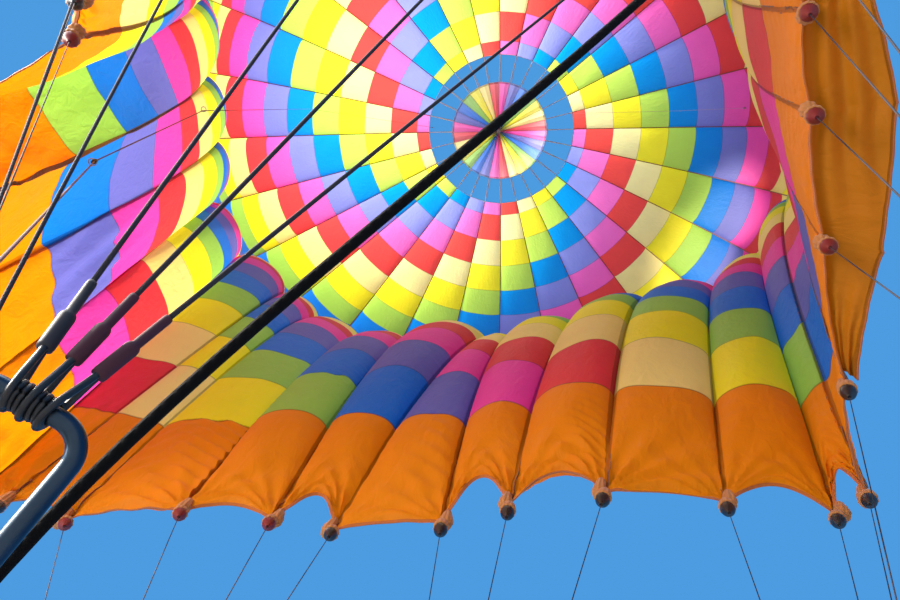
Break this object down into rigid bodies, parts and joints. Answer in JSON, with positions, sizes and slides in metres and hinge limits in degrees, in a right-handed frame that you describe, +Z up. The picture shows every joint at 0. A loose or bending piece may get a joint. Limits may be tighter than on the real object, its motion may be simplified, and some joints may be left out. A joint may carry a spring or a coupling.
{
  "type": "hot air balloon envelope",
  "caption": "Open-mouthed cloth envelope of a hot air balloon with its parachute vent drawn down, control lines, flying wires and carabiners.",
  "frame": {"origin": "centre of the load ring that the carabiners hook on, level with their lower bars", "axes": "+Z up along the flight axis, +X to the right of the picture, +Y towards its lower edge"},
  "size_m": [15.6046, 15.6046, 24.1021],
  "materials": {
    "cloth_red": "coated ripstop nylon",
    "cloth_gold": "coated ripstop nylon",
    "cloth_yellow": "coated ripstop nylon",
    "cloth_green": "coated ripstop nylon",
    "cloth_blue": "coated ripstop nylon",
    "cloth_purple": "coated ripstop nylon",
    "cloth_pink": "coated ripstop nylon",
    "cloth_orange": "coated ripstop nylon",
    "load_tape": "woven tape",
    "hub": "brushed",
    "flying_wire": "stranded wire with cloth pockets",
    "carabiner": "anodised",
    "vent_line": "braided cord",
    "closing_line": "braided cord",
    "crown_line": "braided rope"
  },
  "bodies": {
    "envelope": {"gore_01": "cloth_red", "gore_02": "cloth_gold", "gore_03": "cloth_yellow", "gore_04": "cloth_green", "gore_05": "cloth_blue", "gore_06": "cloth_purple", "gore_07": "cloth_pink", "gore_08": "cloth_red", "gore_09": "cloth_gold", "gore_10": "cloth_yellow", "gore_11": "cloth_green", "gore_12": "cloth_blue", "gore_13": "cloth_purple", "gore_14": "cloth_pink", "gore_15": "cloth_red", "gore_16": "cloth_gold", "gore_17": "cloth_yellow", "gore_18": "cloth_green", "gore_19": "cloth_blue", "gore_20": "cloth_purple", "gore_21": "cloth_pink", "gore_22": "cloth_red", "gore_23": "cloth_gold", "gore_24": "cloth_yellow", "gore_25": "cloth_green", "gore_26": "cloth_blue", "gore_27": "cloth_purple", "gore_28": "cloth_pink", "crown_ring_tapes": "load_tape", "scoop_panel": "cloth_orange", "flying_wires_1": "flying_wire", "flying_wires_2": "flying_wire", "flying_wires_3": "flying_wire", "flying_wires_4": "flying_wire", "flying_wires_5": "flying_wire", "flying_wires_6": "flying_wire", "flying_wires_7": "flying_wire", "flying_wires_8": "flying_wire", "carabiner_1": "carabiner", "carabiner_2": "carabiner", "carabiner_3": "carabiner", "carabiner_4": "carabiner", "carabiner_5": "carabiner", "carabiner_6": "carabiner", "carabiner_7": "carabiner", "carabiner_8": "carabiner", "vent_line": "vent_line", "closing_line": "closing_line", "crown_line": "crown_line"},
    "parachute": {"parachute_panel": "cloth_yellow", "parachute_hub": "hub"}
  },
  "joints": [
    {"name": "vent_slide", "type": "slide", "parent": "envelope", "child": "parachute", "axis": [0, 0, 1], "range_m": [-0.9, 1.1]}
  ]
}
